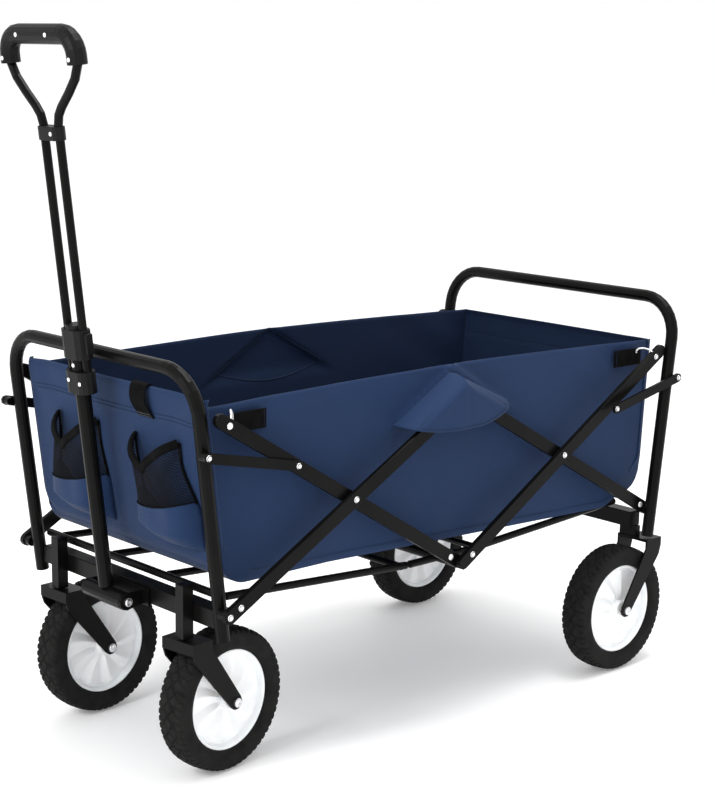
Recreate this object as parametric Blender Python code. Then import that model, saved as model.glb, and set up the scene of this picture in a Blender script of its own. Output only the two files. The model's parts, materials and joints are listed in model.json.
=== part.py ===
"""Folding camp wagon: steel scissor frame, fabric basket, four wheels and a telescoping handle.

Metres, +Z up. +X is the front, where the handle is; +Y is the wagon's left side.
The design's own zero is on the ground under the scissors' middle pivots; the last step moves the
wagon back a little, so that the origin is on the ground under the middle of its overall length.
"""
import math

import bmesh
import bpy
from mathutils import Matrix, Vector

# ---- driving dimensions -------------------------------------------------------------------------
GAP = 0.0003                 # clearance between pieces that touch

WHEEL_R = 0.100
TYRE_WIDTH = 0.046
HUB_R = 0.070
HUB_WIDTH = 0.040
BORE_R = 0.0046
BOLT_R = 0.0040
AXLE_X = 0.363
FRONT_WHEEL_Y = 0.149
REAR_WHEEL_Y = 0.224

TUBE_R = 0.0095              # hoop tube
HOOP_FOOT_X = 0.418
HOOP_FOOT_Z = 0.2113
HOOP_LEAN = 0.1225           # run over rise of both hoops, outwards
HOOP_CORNER = 0.060
FRONT_HOOP = (0.215, 0.570)  # half width, height of the top tube's centre
REAR_HOOP = (0.2455, 0.588)

BEAM = 0.025                 # square crossbeam
BEAM_BACK_X = 0.3972
BEAM_Z = 0.2246
THIN_R = 0.0055              # floor tubes
FLOOR_TUBE_X = 0.412
FLOOR_TUBE_Z = 0.268

CENTRE_Z = 0.244             # lower middle pivot of the scissors
FOOT_PIVOT = (0.4285, 0.252)  # where the scissor bars meet the hoop legs
HALF_BAR_RISE = 0.1255       # from the pivots' line up to where two bars cross
BAR_WIDTH = 0.019
BAR_THICK = 0.008
INNER_Y = 0.2260             # inner face of the inner bars
OUTER_Y = 0.2365             # inner face of the outer bars
RIVET_R = 0.0040
RIVET_RISE = 0.0015
BAR_TIP = 0.012              # the rising bars run on past their rivet near the hoop
LINK_LEG = (0.4595, 0.4660)  # upper strut's pivot on the hoop leg
LINK_BAR_X = 0.311           # and the place on the scissor bar that it reaches
LINK_WIDTH = 0.014
LINK_THICK = 0.004

FLOOR_HINGE = (0.395, 0.262)
FLOOR_TIP = (0.0665, 0.242)
FLOOR_RAILS = (0.192, 0.065)

FABRIC = 0.005               # thickness of the basket's solids
BASKET_Y = 0.205             # outer face of the side panels
BASKET_TOP = 0.526
BASKET_BOTTOM = 0.281
END_TOP = 0.538
END_BOTTOM = 0.292
END_INSET = 0.0135           # end panels sit this far inside the hoop's plane

SWIVEL_X = 0.431
POST = 0.017
CROWN_X = 0.4255             # middle of a fork's crown
CROWN_HALF_X = 0.0180
CROWN_HEIGHT = 0.0160
CROWN_TOPS = {"front": 0.2000, "rear": 0.2075}
CASTER_TURN = {"left": 7.0, "right": 4.0}  # how far each caster is swivelled at rest, degrees
FORK_HALF = 0.0300           # outer half width of a fork
FORK_PLATE = 0.0030

HANDLE_PIVOT = (0.451, 0.0, 0.230)
HANDLE_LEAN = math.radians(6.8)
PIVOT_TUBE_R = 0.0125
PIVOT_TUBE_HALF = 0.0440
LOWER_TUBE_R = 0.0105
TWIN_R = 0.0060
TWIN_Y = 0.0172
GRIP_R = 0.0130
GRIP_BORE_R = 0.0067


# ---- tools --------------------------------------------------------------------------------------
def clear_scene():
    for thing in list(bpy.data.objects):
        bpy.data.objects.remove(thing, do_unlink=True)


def material(name, colour, roughness, metallic=0.0):
    found = bpy.data.materials.get(name)
    if found:
        return found
    made = bpy.data.materials.new(name)
    made.use_nodes = True
    shader = made.node_tree.nodes["Principled BSDF"]
    shader.inputs["Base Color"].default_value = (*colour, 1.0)
    shader.inputs["Roughness"].default_value = roughness
    shader.inputs["Metallic"].default_value = metallic
    return made


def add(name, mesh, finish, smooth=True):
    """One object from a bmesh or a mesh."""
    if isinstance(mesh, bmesh.types.BMesh):
        bmesh.ops.recalc_face_normals(mesh, faces=mesh.faces)
        data = bpy.data.meshes.new(name)
        mesh.to_mesh(data)
        mesh.free()
    else:
        data = mesh
    thing = bpy.data.objects.new(name, data)
    bpy.context.collection.objects.link(thing)
    data.materials.clear()
    data.materials.append(finish())
    if smooth:
        data.shade_smooth()
        data.set_sharp_from_angle(angle=math.radians(35))
    return thing


def boolean(thing, others, operation):
    """Unite thing with the others, or cut them from it, then drop them."""
    for other in others:
        step = thing.modifiers.new(operation, 'BOOLEAN')
        step.operation = operation
        step.solver = 'EXACT'
        step.object = other
    graph = bpy.context.evaluated_depsgraph_get()
    shape = bpy.data.meshes.new_from_object(thing.evaluated_get(graph))
    thing.modifiers.clear()
    thing.data = shape
    shape.name = thing.name
    shape.shade_smooth()
    shape.set_sharp_from_angle(angle=math.radians(35))
    for other in others:
        bpy.data.objects.remove(other, do_unlink=True)
    return thing


def fuse(thing, *others):
    return boolean(thing, others, 'UNION')


def cut(thing, *others):
    return boolean(thing, others, 'DIFFERENCE')


def block(low, high):
    """A box from its lowest and highest corners."""
    mesh = bmesh.new()
    bmesh.ops.create_cube(mesh, size=1.0)
    size = Vector(high) - Vector(low)
    middle = (Vector(high) + Vector(low)) / 2
    mesh.transform(Matrix.Translation(middle) @ Matrix.Diagonal((*size, 1.0)))
    return mesh


def prism(outline, depth_low, depth_high, place=Matrix.Identity(4)):
    """An outline in X and Z, pulled along Y between two depths."""
    mesh = bmesh.new()
    face = mesh.faces.new([mesh.verts.new((x, depth_low, z)) for x, z in outline])
    pulled = bmesh.ops.extrude_face_region(mesh, geom=[face])
    moved = [item for item in pulled["geom"] if isinstance(item, bmesh.types.BMVert)]
    bmesh.ops.translate(mesh, verts=moved, vec=(0, depth_high - depth_low, 0))
    mesh.transform(place)
    return mesh


def rod(start, end, radius, sides=12):
    """A straight round rod between two points."""
    return sweep([start, end], radius, sides)


def sweep(path, radius, sides=12, bore=0.0):
    """A round tube along a path, capped, or open right through when it has a bore."""
    points = [Vector(point) for point in path]
    mesh = bmesh.new()
    heading = (points[1] - points[0]).normalized()
    across = heading.orthogonal().normalized()
    outer_rings, inner_rings = [], []
    for index, point in enumerate(points):
        before = points[max(index - 1, 0)]
        after = points[min(index + 1, len(points) - 1)]
        forward = (after - before).normalized()
        turn = heading.rotation_difference(forward)
        across = turn @ across
        heading = forward
        side = heading.cross(across)
        for rings, size in ((outer_rings, radius), (inner_rings, bore)):
            if size:
                rings.append([mesh.verts.new(point + size * (math.cos(a) * across + math.sin(a) * side))
                              for a in (2 * math.pi * step / sides for step in range(sides))])
    for rings in (outer_rings, inner_rings):
        for first, second in zip(rings, rings[1:]):
            for step in range(sides):
                after = (step + 1) % sides
                mesh.faces.new((first[step], first[after], second[after], second[step]))
    for end in (0, -1):
        if bore:
            for step in range(sides):
                after = (step + 1) % sides
                mesh.faces.new((outer_rings[end][step], outer_rings[end][after],
                                inner_rings[end][after], inner_rings[end][step]))
        else:
            mesh.faces.new(outer_rings[end])
    return mesh


def turned(profile, place, segments=32):
    """A closed ring: a profile of (radius, offset) turned about Y."""
    mesh = bmesh.new()
    rings = []
    for step in range(segments):
        angle = 2 * math.pi * step / segments
        rings.append([mesh.verts.new((radius * math.cos(angle), offset, radius * math.sin(angle)))
                      for radius, offset in profile])
    for step in range(segments):
        first, second = rings[step], rings[(step + 1) % segments]
        for index in range(len(profile)):
            after = (index + 1) % len(profile)
            mesh.faces.new((first[index], first[after], second[after], second[index]))
    mesh.transform(Matrix.Translation(place))
    return mesh


def arc(centre, radius, start, end, steps):
    """Points along an arc in a plane, angles in degrees."""
    return [(centre[0] + radius * math.cos(math.radians(start + (end - start) * step / steps)),
             centre[1] + radius * math.sin(math.radians(start + (end - start) * step / steps)))
            for step in range(steps + 1)]


def capsule(start, end, radius, steps=5):
    """A bar's outline in X and Z with round ends."""
    angle = math.degrees(math.atan2(end[1] - start[1], end[0] - start[0]))
    return (arc(start, radius, angle + 90, angle + 270, steps)
            + arc(end, radius, angle - 90, angle + 90, steps))


def tapered(start, end, start_radius, end_radius, steps=5):
    """Like a capsule, with another radius at each end."""
    angle = math.degrees(math.atan2(end[1] - start[1], end[0] - start[0]))
    return (arc(start, start_radius, angle + 90, angle + 270, steps)
            + arc(end, end_radius, angle - 90, angle + 90, steps))


# ---- finishes -----------------------------------------------------------------------------------
def black_steel():
    return material("black_steel", (0.012, 0.012, 0.013), 0.38, 0.3)


def black_plastic():
    return material("black_plastic", (0.010, 0.010, 0.011), 0.50)


def bright_steel():
    return material("bright_steel", (0.75, 0.75, 0.76), 0.28, 1.0)


def white_plastic():
    return material("white_plastic", (0.86, 0.87, 0.88), 0.35)


def tyre_rubber():
    return material("tyre_rubber", (0.013, 0.013, 0.014), 0.85)


def navy_fabric():
    return material("navy_fabric", (0.020, 0.043, 0.115), 0.85)


def mesh_fabric():
    return material("mesh_fabric", (0.012, 0.014, 0.022), 0.90)


# ---- hoops and their crossbeams -------------------------------------------------------------------
def leg_x(height):
    """How far out the hoops stand at a height."""
    return HOOP_FOOT_X + (height - HOOP_FOOT_Z) * HOOP_LEAN


def hoop(name, end, half_width, top):
    """An upside-down U of tube that leans outwards; end is +1 at the front, -1 at the rear."""
    corner = HOOP_CORNER
    outline = [(half_width, HOOP_FOOT_Z)]
    outline += arc((half_width - corner, top - corner), corner, 0, 90, 8)
    outline += [(-y, z) for y, z in reversed(outline)]
    path = [(end * leg_x(z), y, z) for y, z in outline]
    add(name, sweep(path, TUBE_R, 14), black_steel)


def crossbeam(name, end, half_width):
    """Square tube between the feet of a hoop."""
    faces = sorted((end * BEAM_BACK_X, end * (BEAM_BACK_X + BEAM)))
    beam = block((faces[0], -half_width, BEAM_Z), (faces[1], half_width, BEAM_Z + BEAM))
    add(name, beam, black_steel, smooth=False)


def floor_tube(name, end, half_width):
    """Thin tube between the feet of a hoop, above the crossbeam."""
    ends = [(end * FLOOR_TUBE_X, side * half_width, FLOOR_TUBE_Z) for side in (1, -1)]
    add(name, rod(*ends, THIN_R, 10), black_steel)


def hoops():
    for name, end, (half_width, top) in (("front", 1, FRONT_HOOP), ("rear", -1, REAR_HOOP)):
        hoop(name + "_hoop", end, half_width, top)
        inside = min(half_width - TUBE_R, INNER_Y) - 2 * GAP
        crossbeam(name + "_crossbeam", end, inside)
        floor_tube(name + "_floor_tube", end, inside - 0.001)


# ---- scissor bars ---------------------------------------------------------------------------------
def scissor_points():
    """Foot pivot, crossing, hook end and top pivot of the front bars, as (x, z)."""
    centre = Vector((0.0, CENTRE_Z))
    foot = Vector(FOOT_PIVOT)
    base = foot - centre
    rise = Vector((-base.y, base.x)).normalized() * HALF_BAR_RISE
    crossing = centre + base / 2 + rise
    hook = centre + (crossing - centre) * 2
    slope = crossing - foot
    top = crossing + slope * (crossing.x / -slope.x)
    return foot, crossing, hook, top


def flip(points, end):
    """Mirror an outline to the rear, keeping its order around the shape."""
    return [(end * x, z) for x, z in points]


def slab(outline, side, near, far):
    """A plate whose faces are near and far from the middle plane, on one side."""
    depths = sorted((side * near, side * far))
    return prism(outline, *depths)


def pin(place, side, near, far, radius, sides=12):
    """A short round pin across the wagon."""
    return rod((place[0], side * near, place[1]), (place[0], side * far, place[1]), radius, sides)


def bar(name, side, end, start, finish, rivets, spacers, outer):
    """One scissor bar with its rivet heads and, on outer bars, the washers behind it."""
    near = OUTER_Y if outer else INNER_Y
    far = near + BAR_THICK
    outline = flip(capsule(start, finish, BAR_WIDTH / 2), end)
    body = add(name, slab(outline, side, near, far), black_steel)
    pieces = [pin((end * x, z), side, far - 0.002, far + RIVET_RISE, RIVET_R, 10) for x, z in rivets]
    pieces += [pin((end * x, z), side, reach, near + 0.002, 0.0075) for x, z, reach in spacers]
    return fuse(body, *[add("piece", piece, black_steel) for piece in pieces])


def along(start, finish, distance):
    """The point a distance from start towards finish."""
    start, finish = Vector(start), Vector(finish)
    return start + (finish - start).normalized() * distance


def scissors():
    foot, crossing, hook, top = scissor_points()
    centre = Vector((0.0, CENTRE_Z))
    behind = INNER_Y + BAR_THICK + GAP
    leg_face = FRONT_HOOP[0] + TUBE_R + GAP
    rivet_step = 0.020
    washers = [(*crossing, behind)]
    lift = [along(centre, hook, rivet_step)]
    foot_rivets = [foot, along(foot, top, rivet_step)]
    hook_rivet = [along(hook, centre, 0.003)]
    tip = along(centre, hook, (hook - centre).length + BAR_TIP)
    for side, word in ((1, "left"), (-1, "right")):
        bar("front_inner_bar_" + word, side, 1, centre, tip, lift + hook_rivet, [], False)
        bar("front_outer_bar_" + word, side, 1, foot, top, foot_rivets + [crossing],
            washers + [(*foot, leg_face), (*top, behind)], True)
        bar("rear_outer_bar_" + word, side, -1, centre, tip, lift + [crossing] + hook_rivet,
            washers + [(*centre, behind)], True)
        bar("rear_inner_bar_" + word, side, -1, foot, top, foot_rivets[1:], [], False)


def links():
    """Short upper struts between the hoop legs and the bars that carry the basket's rim."""
    foot, crossing, hook, top = scissor_points()
    slope = (hook.y - CENTRE_Z) / hook.x
    reach = (LINK_BAR_X, CENTRE_Z + slope * LINK_BAR_X)
    for end, word in ((1, "front"), (-1, "rear")):
        leg_face = (FRONT_HOOP if end > 0 else REAR_HOOP)[0] + TUBE_R
        near = OUTER_Y if end > 0 else leg_face + 0.002
        for side, side_word in ((1, "left"), (-1, "right")):
            outline = flip(capsule(LINK_LEG, reach, LINK_WIDTH / 2, 4), end)
            far = near + LINK_THICK
            body = add(f"{word}_strut_{side_word}", slab(outline, side, near, far), black_steel)
            leg = (end * LINK_LEG[0], LINK_LEG[1])
            heads = [pin((end * x, z), side, far - 0.001, far + RIVET_RISE, RIVET_R, 10)
                     for x, z in (LINK_LEG, reach)]
            heads.append(pin(leg, side, leg_face + GAP, near + 0.001, 0.0060))
            fuse(body, *[add("piece", head, black_steel) for head in heads])


def centre_frame():
    """Lower cross tube between the middle pivots, with stubs that carry the floor rails' line."""
    reach = INNER_Y - GAP
    body = add("centre_cross_tube", rod((0, -reach, CENTRE_Z), (0, reach, CENTRE_Z), 0.0090, 12),
               black_steel)
    stub = FLOOR_TIP[0] - 0.0065
    stubs = [rod((-stub, y, FLOOR_TIP[1]), (stub, y, FLOOR_TIP[1]), THIN_R, 10)
             for rail in FLOOR_RAILS for y in (rail, -rail)]
    fuse(body, *[add("piece", piece, black_steel) for piece in stubs])


def top_brackets():
    """Plates inside the upper middle pivots, under the fabric flaps."""
    foot, crossing, hook, top = scissor_points()
    far = INNER_Y - GAP
    for side, word in ((1, "left"), (-1, "right")):
        outline = capsule((-0.016, top.y), (0.016, top.y), 0.013)
        add("top_bracket_" + word, slab(outline, side, far - 0.004, far), black_steel)


def floor_frames():
    """Two half grids of thin tube, hinged near the hoops, that carry the basket's floor."""
    (hinge_x, hinge_z), (tip_x, tip_z) = FLOOR_HINGE, FLOOR_TIP
    reach = FLOOR_RAILS[0] + 0.004
    for end, word in ((1, "front"), (-1, "rear")):
        rails = [rod((end * hinge_x, y, hinge_z), (end * tip_x, y, tip_z), THIN_R, 10)
                 for rail in FLOOR_RAILS for y in (rail, -rail)]
        tie_x = tip_x + 0.012
        tie_z = tip_z + 0.012 * (hinge_z - tip_z) / (hinge_x - tip_x)
        tie = rod((end * tie_x, -reach, tie_z), (end * tie_x, reach, tie_z), THIN_R * 0.92, 10)
        body = add(word + "_floor_frame", tie, black_steel)
        fuse(body, *[add("piece", rail, black_steel) for rail in rails])


# ---- wheels ---------------------------------------------------------------------------------------
def tyre_profile():
    half = TYRE_WIDTH / 2
    return [(HUB_R + GAP, -0.017), (0.080, -half), (0.094, -half), (WHEEL_R, -0.016),
            (WHEEL_R, 0.016), (0.094, half), (0.080, half), (HUB_R + GAP, 0.017)]


def hub_profile():
    half = HUB_WIDTH / 2
    return [(BORE_R, -half), (0.012, -half), (0.016, -0.011), (0.062, -0.013), (0.066, -0.017),
            (HUB_R, -0.017), (HUB_R, 0.017), (0.066, 0.017), (0.062, 0.013), (0.016, 0.011),
            (0.012, half), (BORE_R, half)]


def fork_leg(side, end, wheel_y, crown_top):
    """One blade from the crown down to the axle."""
    top = (end * CROWN_X, crown_top - CROWN_HALF_X)
    outline = tapered(top, (end * AXLE_X, WHEEL_R), CROWN_HALF_X - 0.0012, 0.0110)
    near = wheel_y + side * (FORK_HALF - FORK_PLATE)
    far = wheel_y + side * FORK_HALF
    return prism(outline, *sorted((near, far)))


def fork(name, end, wheel_y, crown_top):
    """A channel-shaped crown, open towards the tyre, with two slanting blades."""
    front, back = end * (CROWN_X + CROWN_HALF_X), end * (CROWN_X - CROWN_HALF_X)
    low_x, high_x = sorted((front, back))
    crown = block((low_x, wheel_y - FORK_HALF, crown_top - CROWN_HEIGHT),
                  (high_x, wheel_y + FORK_HALF, crown_top))
    body = add(name, crown, black_steel)
    low_x, high_x = sorted((front - end * FORK_PLATE, back - end * 0.01))
    inside = FORK_HALF - FORK_PLATE
    hollow = block((low_x, wheel_y - inside, crown_top - CROWN_HEIGHT - 0.01),
                   (high_x, wheel_y + inside, crown_top - 0.0035))
    cut(body, add("cutter", hollow, black_steel))
    blades = [add("piece", fork_leg(side, end, wheel_y, crown_top), black_steel) for side in (1, -1)]
    fuse(body, *blades)
    reach = FORK_HALF + 0.01
    hole = rod((end * AXLE_X, wheel_y - reach, WHEEL_R), (end * AXLE_X, wheel_y + reach, WHEEL_R),
               BOLT_R + GAP, 12)
    return cut(body, add("cutter", hole, black_steel))


def axle_bolt(name, x, y):
    """Rod through the fork and hub with a round head at each end."""
    reach = FORK_HALF + GAP
    body = add(name, rod((x, y - reach - 0.001, WHEEL_R), (x, y + reach + 0.001, WHEEL_R), BOLT_R, 12),
               bright_steel)
    heads = [rod((x, y + side * reach, WHEEL_R), (x, y + side * (reach + 0.0035), WHEEL_R), 0.0065, 12)
             for side in (1, -1)]
    return fuse(body, *[add("piece", head, bright_steel) for head in heads])


def wheels():
    for end, end_word, wheel_y in ((1, "front", FRONT_WHEEL_Y), (-1, "rear", REAR_WHEEL_Y)):
        for side, word in ((1, "left"), (-1, "right")):
            place = (end * AXLE_X, side * wheel_y, WHEEL_R)
            tail = f"{end_word}_{word}"
            add("tyre_" + tail, turned(tyre_profile(), place, 36), tyre_rubber)
            add("hub_" + tail, turned(hub_profile(), place, 28), white_plastic)
            axle_bolt("axle_bolt_" + tail, end * AXLE_X, side * wheel_y)


def casters():
    """Front forks that swivel under square posts on the crossbeam's front face."""
    front = BEAM_BACK_X + BEAM + GAP
    crown_top = CROWN_TOPS["front"]
    for side, word in ((1, "left"), (-1, "right")):
        y = side * FRONT_WHEEL_Y
        body = fork("caster_fork_" + word, 1, y, crown_top)
        stem = rod((SWIVEL_X, y, crown_top - 0.001), (SWIVEL_X, y, crown_top + 0.020), 0.0050, 12)
        fuse(body, add("piece", stem, black_steel))
        post = add("caster_post_" + word,
                   block((front, y - POST / 2, crown_top + 0.0008), (front + POST, y + POST / 2, 0.276)),
                   black_steel, smooth=False)
        socket = rod((SWIVEL_X, y, crown_top - 0.01), (SWIVEL_X, y, crown_top + 0.022), 0.0054, 12)
        cut(post, add("cutter", socket, black_steel))
        turn_caster(word, Vector((SWIVEL_X, y, 0)))


def turn_caster(word, axis):
    """Swivels a finished caster about its stem."""
    turn = Matrix.Rotation(math.radians(CASTER_TURN[word]), 4, 'Z')
    about = Matrix.Translation(axis) @ turn @ Matrix.Translation(-axis)
    for name in ("caster_fork_", "axle_bolt_front_", "tyre_front_", "hub_front_"):
        bpy.data.objects[name + word].data.transform(about)


def rear_forks():
    """Fixed rear forks on short blocks under the crossbeam's ends."""
    crown_top = CROWN_TOPS["rear"]
    for side, word in ((1, "left"), (-1, "right")):
        y = side * REAR_WHEEL_Y
        body = fork("rear_fork_" + word, -1, y, crown_top)
        ends = sorted((side * (REAR_WHEEL_Y - 0.028), side * (REAR_WHEEL_Y + 0.004)))
        spacer = block((-BEAM_BACK_X - BEAM + 0.001, ends[0], crown_top - 0.001),
                       (-BEAM_BACK_X - 0.012, ends[1], BEAM_Z - GAP))
        fuse(body, add("piece", spacer, black_steel))


# ---- basket ---------------------------------------------------------------------------------------
def end_panel(name, end):
    """Leaning fabric wall just inside a hoop."""
    outline = [(leg_x(z) - END_INSET + shift, z)
               for z, shift in ((END_BOTTOM, -FABRIC), (END_BOTTOM, 0), (END_TOP, 0), (END_TOP, -FABRIC))]
    add(name, prism(flip(outline, end), -BASKET_Y, BASKET_Y), navy_fabric, smooth=False)


def inner_face_x(height):
    """Inner face of the end panels, extended down."""
    return leg_x(height) - END_INSET - FABRIC - GAP


def side_panel(name, side):
    """Upright fabric wall along one side."""
    outline = [(inner_face_x(BASKET_TOP), BASKET_TOP), (inner_face_x(END_BOTTOM), END_BOTTOM),
               (inner_face_x(END_BOTTOM) - 0.010, BASKET_BOTTOM)]
    outline += [(-x, z) for x, z in reversed(outline)]
    add(name, slab(outline, side, BASKET_Y - FABRIC, BASKET_Y), navy_fabric, smooth=False)


def pocket(name, side):
    """Open cup pocket on the front panel."""
    middle, half, depth, wall = side * 0.104, 0.052, 0.034, 0.0025
    bottom, top = 0.326, 0.468
    back_low, back_high = leg_x(bottom) - END_INSET + GAP, leg_x(top) - END_INSET + GAP
    outer = [(back_low, bottom), (back_low + depth * 0.55, bottom), (back_low + depth, bottom + 0.020),
             (back_high + depth * 0.75, top), (back_high, top)]
    inner = [(back_low + wall, bottom + wall), (back_low + depth * 0.55 - wall, bottom + wall),
             (back_low + depth - wall, bottom + 0.022), (back_high + depth * 0.75 - wall, top + 0.01),
             (back_high + wall, top + 0.01)]
    body = add(name, prism(outer, middle - half, middle + half), mesh_fabric, smooth=False)
    hollow = prism(inner, middle - half + wall, middle + half - wall)
    cut(body, add("cutter", hollow, mesh_fabric))
    body.data.shade_flat()


def flap(name, side):
    """Fabric tent over the upper middle pivot."""
    peak, corner = (0.0, 0.531), (0.106, 0.468)
    low = 0.451
    half = [peak, (0.030, 0.515), corner]
    curve = [(corner[0] * math.cos(a), corner[1] + (low - corner[1]) * math.sin(a))
             for a in (math.radians(step * 18) for step in range(1, 5))]
    outline = half + curve + [(0.0, low)] + [(-x, z) for x, z in reversed(half[1:] + curve)]
    near = OUTER_Y + BAR_THICK + RIVET_RISE + 0.0010
    add(name, slab(outline, side, near, near + 0.0025), navy_fabric, smooth=False)


def basket():
    end_panel("basket_front_panel", 1)
    end_panel("basket_rear_panel", -1)
    inset = BASKET_Y - FABRIC - GAP
    length = inner_face_x(END_BOTTOM) - 0.011
    add("basket_floor", block((-length, -inset, BASKET_BOTTOM), (length, inset, BASKET_BOTTOM + FABRIC)),
        navy_fabric, smooth=False)
    for side, word in ((1, "left"), (-1, "right")):
        side_panel("basket_side_panel_" + word, side)
        pocket("cup_pocket_" + word, side)
        flap("pivot_flap_" + word, side)


# ---- handle ---------------------------------------------------------------------------------------
def handle_bracket():
    """Two ears on the crossbeam that hold the handle's pivot tube."""
    x, _, z = HANDLE_PIVOT
    back = BEAM_BACK_X + BEAM + GAP
    near = PIVOT_TUBE_HALF + 0.0006
    plate = add("handle_bracket", block((back, -0.060, BEAM_Z - 0.003), (back + 0.003, 0.060, BEAM_Z + 0.022)),
                black_steel, smooth=False)
    outline = [(back + 0.001, z + 0.012), (back + 0.001, z - 0.007)] + arc((x, z), 0.0120, -120, 100, 7)
    ears = [prism(outline, *sorted((side * near, side * (near + 0.003)))) for side in (1, -1)]
    fuse(plate, *[add("piece", ear, black_steel) for ear in ears])
    hole = rod((x, -0.06, z), (x, 0.06, z), BOLT_R + GAP, 12)
    cut(plate, add("cutter", hole, black_steel))
    reach = near + 0.003 + GAP
    bolt = add("handle_pivot_bolt", rod((x, -reach - 0.001, z), (x, reach + 0.001, z), BOLT_R, 12),
               bright_steel)
    heads = [rod((x, side * reach, z), (x, side * (reach + 0.003), z), 0.0060, 12) for side in (1, -1)]
    fuse(bolt, *[add("piece", head, bright_steel) for head in heads])


def stadium(half_width, radius, steps=6):
    """Outline in Y and X of a rounded slab, wide across the wagon."""
    middle = half_width - radius
    points = arc((middle, 0.0), radius, -90, 90, steps) + arc((-middle, 0.0), radius, 90, 270, steps)
    return [(y, x) for y, x in points]


def upright(outline, low, high):
    """An outline in Y and X pulled up along Z."""
    mesh = bmesh.new()
    face = mesh.faces.new([mesh.verts.new((x, y, low)) for y, x in outline])
    pulled = bmesh.ops.extrude_face_region(mesh, geom=[face])
    moved = [item for item in pulled["geom"] if isinstance(item, bmesh.types.BMVert)]
    bmesh.ops.translate(mesh, verts=moved, vec=(0, 0, high - low))
    return mesh


def loop_path():
    """Half of the upper handle from a twin tube's foot to the top of the grip, as (y, z)."""
    lower = [(TWIN_Y, 0.2935), (TWIN_Y, 0.645)]
    flare = [(0.0210, 0.6580), (0.0300, 0.6690), (0.0500, 0.6870), (0.0675, 0.7050)]
    return lower + flare + grip_path()


def grip_path():
    """The same path where the grip covers it, on one side."""
    return [(0.0770, 0.7230)] + arc((0.0505, 0.7335), 0.0265, 0, 90, 6)


def both_sides(half):
    """A path over the middle from one side to the other, in the handle's own frame."""
    return [(0.0, y, z) for y, z in half] + [(0.0, -y, z) for y, z in reversed(half)]


def handle():
    """Built upright on its pivot, then leant forward by its parent empty."""
    axis = bpy.data.objects.new("handle_axis", None)
    axis.location = HANDLE_PIVOT
    axis.rotation_euler = (0.0, HANDLE_LEAN, 0.0)
    bpy.context.collection.objects.link(axis)

    pivot = add("handle_pivot_tube",
                sweep([(0, -PIVOT_TUBE_HALF, 0), (0, PIVOT_TUBE_HALF, 0)], PIVOT_TUBE_R, 16, BORE_R),
                black_steel)
    lower = add("handle_lower_tube", rod((0, 0, PIVOT_TUBE_R + GAP), (0, 0, 0.3765), LOWER_TUBE_R, 16),
                black_steel)
    collar = add("handle_collar", upright(stadium(0.0245, 0.0133), 0.290, 0.320), black_plastic)
    slide_hole = rod((0, 0, 0.28), (0, 0, 0.33), LOWER_TUBE_R + GAP, 16)
    seats = [rod((0, y, 0.2930), (0, y, 0.33), TWIN_R + GAP, 12) for y in (TWIN_Y, -TWIN_Y)]
    cut(collar, *[add("cutter", hole, black_plastic) for hole in [slide_hole, *seats]])

    lock = add("handle_lock_block", upright(stadium(0.0250, 0.0125, 4), 0.3370, 0.3770), black_plastic)
    cap = add("piece", upright(stadium(0.0150, 0.0120, 4), 0.3760, 0.3830), black_plastic)
    fuse(lock, cap)
    holes = [rod((0, y, 0.33), (0, y, 0.40), TWIN_R + GAP, 12) for y in (TWIN_Y, -TWIN_Y)]
    holes.append(rod((0, 0, 0.33), (0, 0, 0.3768), LOWER_TUBE_R + GAP, 16))
    cut(lock, *[add("cutter", hole, black_plastic) for hole in holes])

    lever = add("handle_lock_lever", block((-0.005, 0.0255, 0.3450), (0.005, 0.0310, 0.3730)),
                black_plastic, smooth=False)
    loop = add("handle_loop", sweep(both_sides(loop_path()), TWIN_R, 12), black_steel)
    grip = add("handle_grip", sweep(both_sides(grip_path()), GRIP_R, 14, GRIP_BORE_R), black_plastic)

    clamp = add("handle_clamp", upright(stadium(0.0245, 0.0090, 5), 0.6260, 0.6440), black_plastic)
    bores = [rod((0, y, 0.62), (0, y, 0.65), TWIN_R + GAP, 12) for y in (TWIN_Y, -TWIN_Y)]
    cut(clamp, *[add("cutter", hole, black_plastic) for hole in bores])

    for piece in (pivot, lower, collar, lock, lever, loop, grip, clamp):
        piece.parent = axis


def centre_on_origin():
    """Move everything along X so that the overall length is centred on the origin."""
    bpy.context.view_layer.update()
    reaches = [(thing.matrix_world @ vertex.co).x for thing in bpy.data.objects if thing.type == 'MESH'
               for vertex in thing.data.vertices]
    shift = (max(reaches) + min(reaches)) / 2
    for thing in bpy.data.objects:
        if thing.parent is None:
            thing.location.x -= shift


def main():
    clear_scene()
    hoops()
    scissors()
    links()
    centre_frame()
    top_brackets()
    floor_frames()
    wheels()
    casters()
    rear_forks()
    basket()
    handle_bracket()
    handle()
    centre_on_origin()


main()
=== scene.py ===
"""Looks of the folding camp wagon: fabric, tread, hubs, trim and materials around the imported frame."""

import json
import math

import bmesh
import bpy
from mathutils import Matrix, Vector, noise


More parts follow.
